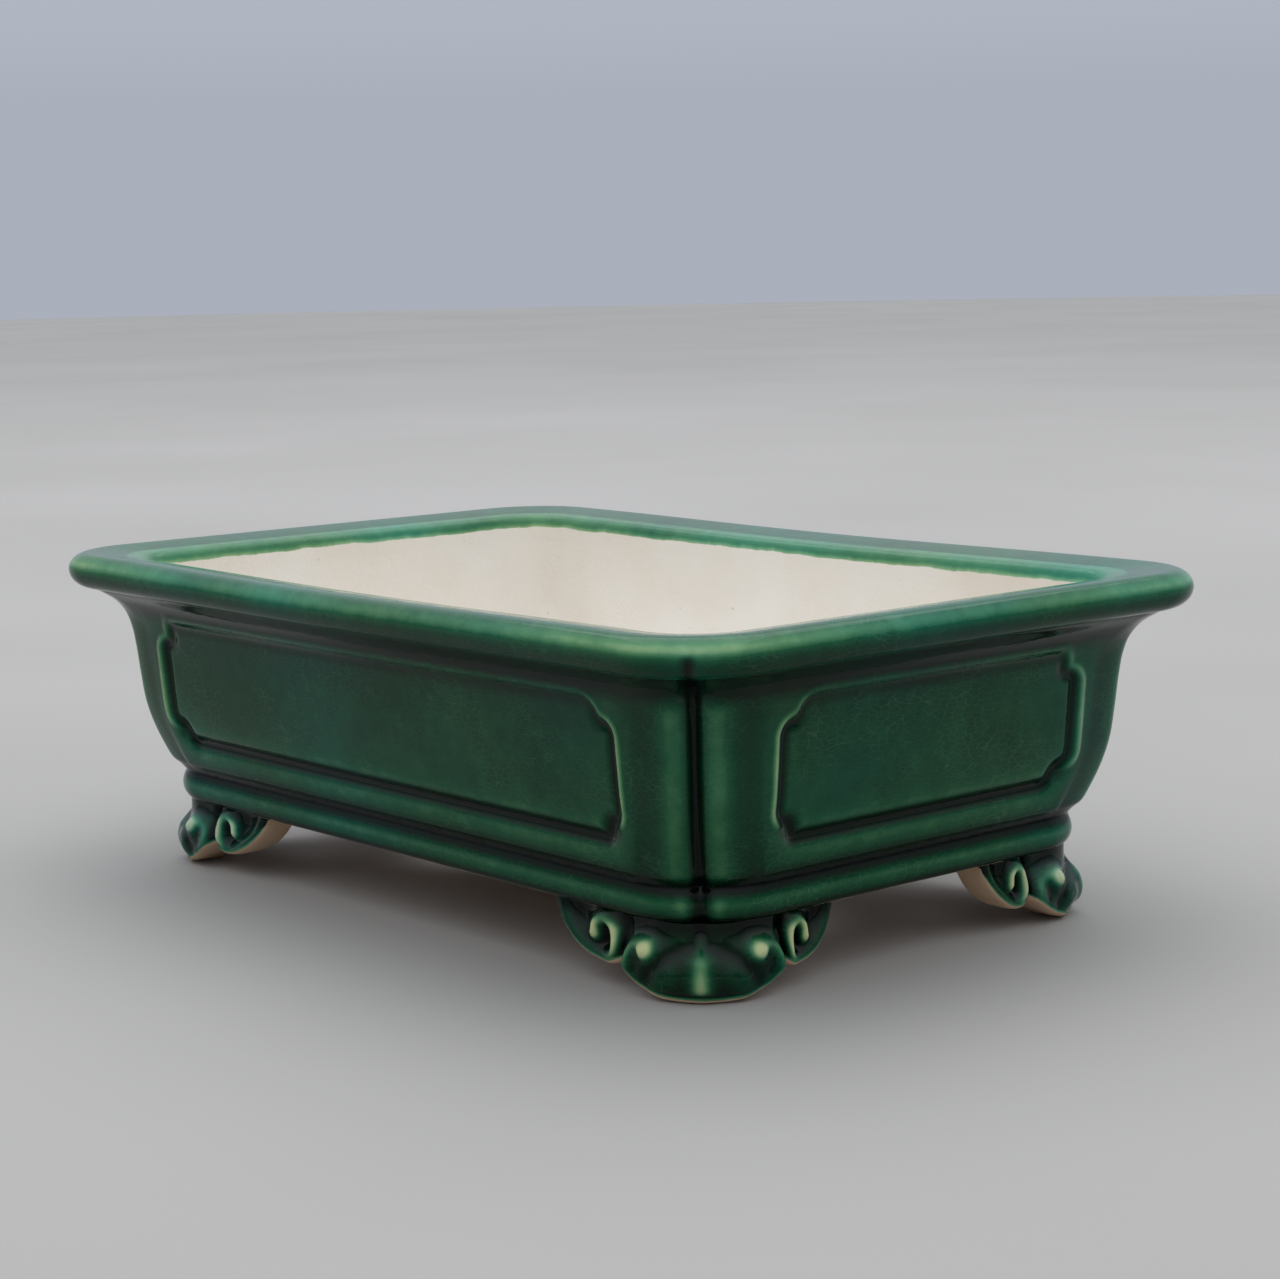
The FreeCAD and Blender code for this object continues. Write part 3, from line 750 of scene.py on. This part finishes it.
def glaze_colour(nodes, place, bare):
    """Green glaze: pale where it is thin, nearly black where it has pooled; the depth it reads also holds
    painted highlights and painted shade.
    """
    depth = nodes.attribute("glaze_depth_and_painted_light")
    broad = nodes.math("MULTIPLY_ADD", nodes.noise(place, 26.0, 3.0), 0.16, -0.08)
    close = nodes.math("MULTIPLY_ADD", nodes.noise(place, 210.0, 4.0, 0.6), 0.12, -0.06)
    depth = nodes.math("ADD", nodes.math("ADD", depth, broad), close)
    thin = nodes.span(bare, -1.4, 0.0, 0.0, 0.2)
    depth = nodes.math("SUBTRACT", depth, thin)
    teal = nodes.ramp(depth, [
        (0.00, srgb(190, 214, 180)),
        (0.12, srgb(138, 186, 150)),
        (0.26, srgb(60, 136, 108)),
        (0.40, srgb(10, 90, 68)),
        (0.52, srgb(0, 66, 52)),
        (0.70, srgb(0, 34, 28)),
        (1.00, srgb(0, 7, 6)),
    ])
    green = nodes.ramp(depth, [
        (0.00, srgb(200, 208, 150)),
        (0.12, srgb(156, 186, 134)),
        (0.26, srgb(82, 134, 90)),
        (0.40, srgb(30, 88, 56)),
        (0.52, srgb(10, 62, 38)),
        (0.70, srgb(8, 33, 18)),
        (1.00, srgb(2, 7, 4)),
    ])
    colour = nodes.mix(nodes.span(nodes.noise(place, 15.0, 2.0), 0.36, 0.62), teal, green)
    patches = nodes.span(nodes.noise(place, 60.0, 2.0), 0.4, 0.65, 0.03, 0.14)
    patches = nodes.math("MULTIPLY", patches, nodes.span(depth, 0.5, 0.75, 1.0, 0.1))
    lines = nodes.math("MULTIPLY", crackle(nodes, place), patches)
    return nodes.mix(lines, colour, srgb(120, 160, 130))


def clay_colour(nodes, place):
    """Pale fired clay with faint clouds and a few dark specks."""
    cloud = nodes.noise(place, 22.0, 4.0, 0.6)
    colour = nodes.ramp(cloud, [
        (0.25, srgb(226, 216, 202)),
        (0.50, srgb(232, 226, 216)),
        (0.75, srgb(236, 232, 225)),
    ])
    height = nodes.add("ShaderNodeSeparateXYZ", Vector=place).outputs["Z"]
    toasted = nodes.span(height, FLOOR_LOW * MM, (FLOOR_LOW + 4) * MM, 0.75, 0.0)
    colour = nodes.mix(toasted, colour, srgb(206, 166, 124))
    specks = nodes.span(nodes.noise(place, 520.0, 1.0), 0.78, 0.82, 0.0, 0.4)
    return nodes.mix(specks, colour, srgb(150, 132, 112))


def pot_material():
    """Glaze and bare clay in one material, divided along a wavy line."""
    material = bpy.data.materials.new("pot_glaze")
    material.use_nodes = True
    nodes = Nodes(material.node_tree)
    place = nodes.tree.nodes.new("ShaderNodeTexCoord").outputs["Object"]
    wave = nodes.math("MULTIPLY_ADD", nodes.noise(place, 60.0, 5.0, 0.6), 2.4, -1.2)
    bare = nodes.math("ADD", nodes.attribute("bare_clay"), wave)
    clay = nodes.span(bare, -0.12, 0.12)
    colour = nodes.mix(clay, glaze_colour(nodes, place, bare), clay_colour(nodes, place))
    gloss = nodes.span(nodes.noise(place, 150.0, 3.0), 0.3, 0.7, 0.05, 0.13)
    matt = nodes.span(nodes.noise(place, 400.0, 2.0), 0.3, 0.7, 0.74, 0.9)
    rough = nodes.math("ADD", nodes.math("MULTIPLY", gloss, nodes.math("SUBTRACT", 1.0, clay)),
                       nodes.math("MULTIPLY", matt, clay))
    skin = nodes.math("MULTIPLY", nodes.noise(place, 240.0, 2.0), 0.00006)
    skin = nodes.math("SUBTRACT", skin, nodes.math("MULTIPLY", crackle(nodes, place), 0.000008))
    grain = nodes.math("MULTIPLY", nodes.noise(place, 900.0, 3.0, 0.65), 0.00022)
    height = nodes.math("ADD", nodes.math("MULTIPLY", skin, nodes.math("SUBTRACT", 1.0, clay)),
                        nodes.math("MULTIPLY", grain, clay))
    bump = nodes.add("ShaderNodeBump", Height=height, Distance=1.0, Strength=0.8)
    shader = nodes.add("ShaderNodeBsdfPrincipled", IOR=1.45, Normal=bump.outputs["Normal"], Roughness=rough)
    nodes.put(shader, "Specular IOR Level", GLAZE_SPECULAR)
    nodes.put(shader, "Base Color", colour)
    output = nodes.tree.nodes.new("ShaderNodeOutputMaterial")
    nodes.tree.links.new(shader.outputs["BSDF"], output.inputs["Surface"])
    return material


# ---------------------------------------------------------------- studio

FLOOR_RADIUS = 6            # of the studio's floor, in m
CAMERA_AZIMUTH = 49.6       # degrees round from the front towards the right
CAMERA_ELEVATION = 8.24
CAMERA_ROLL = -1.14
CAMERA_DISTANCE = 0.6895    # in m, from the point aimed at
CAMERA_AIM = (0.0093, 0.0269, 0.0340)   # right and up in the picture, and height of the point aimed at
CAMERA_LENS = 77.97         # focal length in mm
SENSOR_WIDTH = 36.0


def floor_material():
    """Plain pale floor."""
    material = bpy.data.materials.new("studio_floor")
    material.use_nodes = True
    nodes = Nodes(material.node_tree)
    place = nodes.tree.nodes.new("ShaderNodeTexCoord").outputs["Object"]
    mottle = nodes.noise(place, 3.0, 2.0)
    colour = nodes.ramp(mottle, [(0.3, srgb(158, 155, 150)), (0.7, srgb(164, 161, 157))])
    shader = nodes.add("ShaderNodeBsdfPrincipled", Roughness=0.8)
    nodes.put(shader, "Base Color", colour)
    output = nodes.tree.nodes.new("ShaderNodeOutputMaterial")
    nodes.tree.links.new(shader.outputs["BSDF"], output.inputs["Surface"])
    return material


def make_studio():
    """A pale floor, one soft light and a surround that is brighter overhead and behind the pot."""
    mesh = bpy.data.meshes.new("studio_floor")
    turn = np.linspace(0, 2 * math.pi, 96, endpoint=False)
    edge = [(FLOOR_RADIUS * math.cos(a), FLOOR_RADIUS * math.sin(a), 0.0) for a in turn]
    mesh.from_pydata(edge, [], [list(range(len(edge)))])
    mesh.materials.append(floor_material())
    floor = bpy.data.objects.new("studio_floor", mesh)
    bpy.context.scene.collection.objects.link(floor)
    add_softbox("overhead", (-0.5, 0.5, 2.2), 2.6, 2.6, 26.0, (0.97, 0.99, 1.0))
    world = bpy.data.worlds.new("surround")
    world.use_nodes = True
    nodes = Nodes(world.node_tree)
    way = nodes.tree.nodes.new("ShaderNodeTexCoord").outputs["Generated"]
    split = nodes.add("ShaderNodeSeparateXYZ", Vector=way)
    behind = nodes.math("SUBTRACT", nodes.math("MULTIPLY", split.outputs["Y"], 0.64),
                        nodes.math("MULTIPLY", split.outputs["X"], 0.75))
    horizon = nodes.mix(nodes.span(behind, -0.3, 0.9), (0.07, 0.08, 0.09, 1), (0.40, 0.43, 0.50, 1))
    sky = nodes.mix(nodes.span(split.outputs["Z"], 0.05, 0.8), horizon, (1.25, 1.3, 1.4, 1))
    light = nodes.add("ShaderNodeBackground", Color=sky, Strength=1.0)
    output = nodes.tree.nodes.new("ShaderNodeOutputWorld")
    nodes.tree.links.new(light.outputs["Background"], output.inputs["Surface"])
    bpy.context.scene.world = world
    bpy.context.scene.view_settings.view_transform = "Standard"


def add_softbox(name, place, width, height, power, colour):
    """A rectangular soft light that faces the pot."""
    lamp = bpy.data.lights.new(name, "AREA")
    lamp.shape = "RECTANGLE"
    lamp.size = width
    lamp.size_y = height
    lamp.energy = power
    lamp.color = colour
    box = bpy.data.objects.new(name, lamp)
    box.location = place
    box.rotation_euler = Vector(place).to_track_quat("Z", "Y").to_euler()
    bpy.context.scene.collection.objects.link(box)


def make_camera():
    """The camera: low, off the front right corner, a little rolled."""
    azimuth, elevation = math.radians(CAMERA_AZIMUTH), math.radians(CAMERA_ELEVATION)
    roll = math.radians(CAMERA_ROLL)
    back = Vector((math.cos(elevation) * math.sin(azimuth), -math.cos(elevation) * math.cos(azimuth),
                   math.sin(elevation)))
    level = Vector((math.cos(azimuth), math.sin(azimuth), 0.0))
    rise = back.cross(level)
    right = level * math.cos(roll) + rise * math.sin(roll)
    up = rise * math.cos(roll) - level * math.sin(roll)
    centre = Vector((0, 0, CAMERA_AIM[2])) + right * CAMERA_AIM[0] + up * CAMERA_AIM[1]
    lens = bpy.data.cameras.new("camera")
    lens.sensor_width = SENSOR_WIDTH
    lens.lens = CAMERA_LENS
    camera = bpy.data.objects.new("camera", lens)
    turn = Matrix((right, up, back)).transposed().to_4x4()
    camera.matrix_world = Matrix.Translation(centre + back * CAMERA_DISTANCE) @ turn
    bpy.context.scene.collection.objects.link(camera)
    bpy.context.scene.camera = camera


# ---------------------------------------------------------------- the pot


def build_pot():
    """Makes every piece and puts it in its CAD node's place."""
    material = pot_material()
    for side in SIDES:
        finish_piece(make_wall(side), "wall_" + side.name, material)
        finish_piece(make_rim(side), "rim_" + side.name, material)
    finish_piece(make_floor(), "floor_slab", material)
    front, right, back, left = SIDES
    for name, first, second in (("foot_front_right", front, right), ("foot_back_right", right, back),
                                ("foot_back_left", back, left), ("foot_front_left", left, front)):
        finish_piece(make_foot(name, first, second), name, material)


build_pot()
make_studio()
make_camera()
